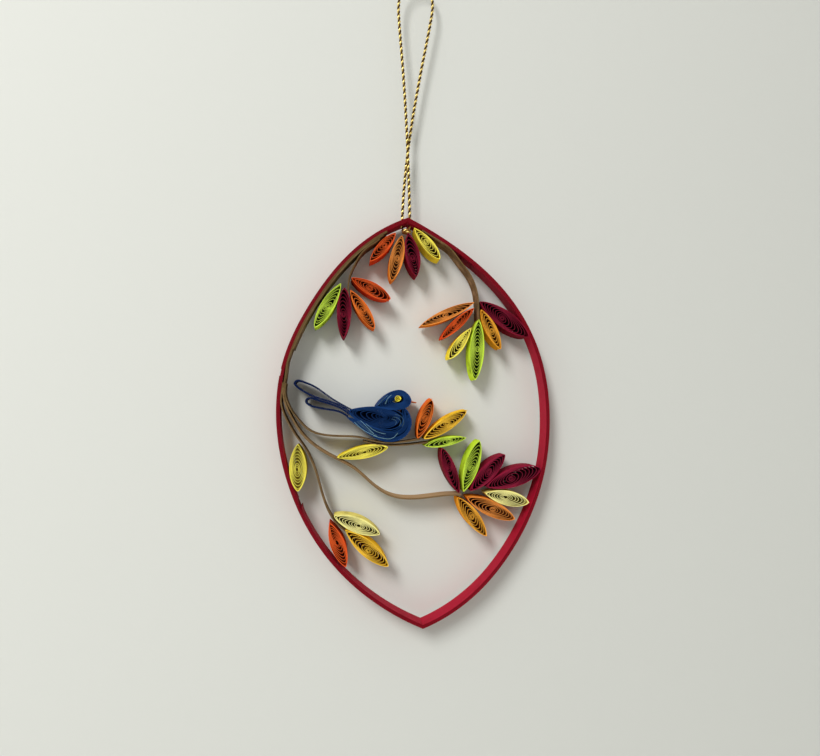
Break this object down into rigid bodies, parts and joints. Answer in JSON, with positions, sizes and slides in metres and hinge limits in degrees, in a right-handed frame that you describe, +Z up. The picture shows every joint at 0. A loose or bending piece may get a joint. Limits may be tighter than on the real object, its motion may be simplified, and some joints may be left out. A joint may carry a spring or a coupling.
{
  "type": "quilled paper hanging ornament",
  "caption": "Pointed oval hoop of paper strip on edge, holding twigs, coiled leaves and a small bird, hung by a cord loop.",
  "frame": {"origin": "middle of the hoop's box, halfway through the paper strip's width", "axes": "+Z up along the hoop towards the cord, +X to the right as the front is seen, -Y the front"},
  "size_m": [0.0636, 0.005, 0.1535],
  "materials": {
    "maroon_band": "matt dyed paper",
    "brown_paper": "matt dyed paper",
    "lime_paper": "matt dyed paper",
    "yellow_paper": "matt dyed paper",
    "amber_paper": "matt dyed paper",
    "orange_paper": "matt dyed paper",
    "red_paper": "matt dyed paper",
    "maroon_paper": "matt dyed paper",
    "cream_paper": "matt dyed paper",
    "blue_paper": "matt dyed paper",
    "tan_paper": "matt dyed paper",
    "gold_cord": "twisted metallic gold thread"
  },
  "bodies": {
    "root": {"hoop": "maroon_band", "stem_main": "brown_paper", "stem_lining": "brown_paper", "stem_upper_left": "brown_paper", "stem_low": "brown_paper", "stem_bird": "brown_paper", "stem_bird_lower": "brown_paper", "stem_right": "brown_paper", "leaf_left_lime": "lime_paper", "leaf_right_lime": "lime_paper", "leaf_perch_lime": "lime_paper", "leaf_fan_lime": "lime_paper", "leaf_crown_yellow": "yellow_paper", "leaf_right_yellow": "yellow_paper", "leaf_low_yellow": "yellow_paper", "leaf_single_yellow": "yellow_paper", "leaf_single_gold": "yellow_paper", "leaf_crown_amber": "amber_paper", "leaf_right_amber": "amber_paper", "leaf_perch_amber": "amber_paper", "leaf_fan_amber": "amber_paper", "leaf_low_amber": "amber_paper", "leaf_right_orange": "orange_paper", "leaf_perch_orange": "orange_paper", "leaf_fan_orange": "orange_paper", "leaf_left_scarlet": "orange_paper", "leaf_crown_red": "red_paper", "leaf_left_red": "red_paper", "leaf_right_red": "red_paper", "leaf_low_red": "red_paper", "leaf_crown_maroon": "maroon_paper", "leaf_left_maroon": "maroon_paper", "leaf_right_maroon": "maroon_paper", "leaf_fan_maroon": "maroon_paper", "leaf_fan_wine": "maroon_paper", "leaf_fan_claret": "maroon_paper", "leaf_fan_cream": "cream_paper", "bird_belly": "blue_paper", "bird_wing": "blue_paper", "bird_head": "blue_paper", "bird_tail_upper": "blue_paper", "bird_tail_lower": "blue_paper", "bird_eye": "yellow_paper", "bird_beak": "tan_paper", "hanging_cord": "gold_cord", "cord_knot": "gold_cord"}
  },
  "joints": []
}
